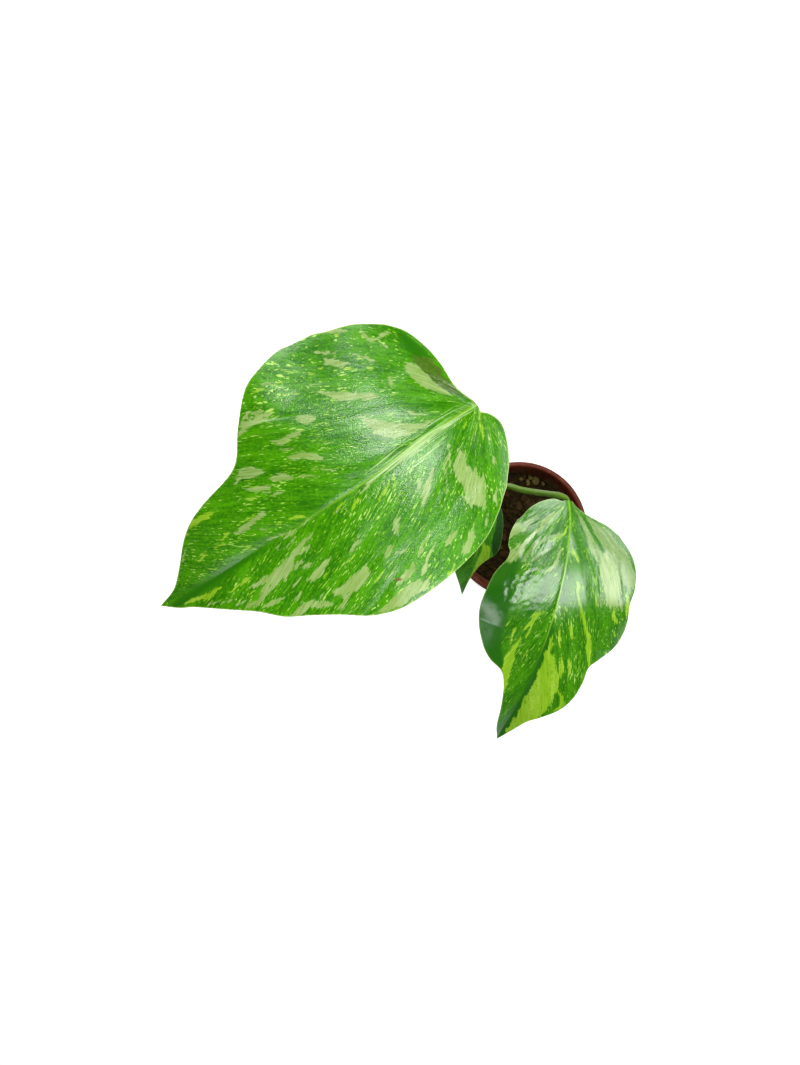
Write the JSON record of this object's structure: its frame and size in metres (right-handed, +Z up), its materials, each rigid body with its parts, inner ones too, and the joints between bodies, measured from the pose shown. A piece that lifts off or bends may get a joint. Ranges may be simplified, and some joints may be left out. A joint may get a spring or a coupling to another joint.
{
  "type": "potted monstera",
  "caption": "Young variegated monstera: a short stem in soil, petioles and heart-shaped blades with pointed tips, in a small round nursery pot that stands on its base.",
  "frame": {"origin": "middle of the pot's underside, on the surface that the pot stands on", "axes": "+Z up along the pot's axis; the large blade reaches towards -X and the medium blade towards -Y"},
  "size_m": [0.1937, 0.1694, 0.1717],
  "materials": {
    "pot_plastic": "satin brick-red thermoformed plastic",
    "potting_soil": "coarse dark potting mix of bark, peat and perlite",
    "stem_skin": "green skin with brown leaf scars",
    "petiole_skin": "smooth satin pale green",
    "leaf_blade": "glossy green with cream patches and yellow-green speckles"
  },
  "bodies": {
    "root": {"pot": "pot_plastic", "soil": "potting_soil", "stem": "stem_skin", "petiole_large": "petiole_skin", "petiole_medium": "petiole_skin", "petiole_small": "petiole_skin", "leaf_large": "leaf_blade", "leaf_medium": "leaf_blade", "leaf_small": "leaf_blade"}
  },
  "joints": []
}
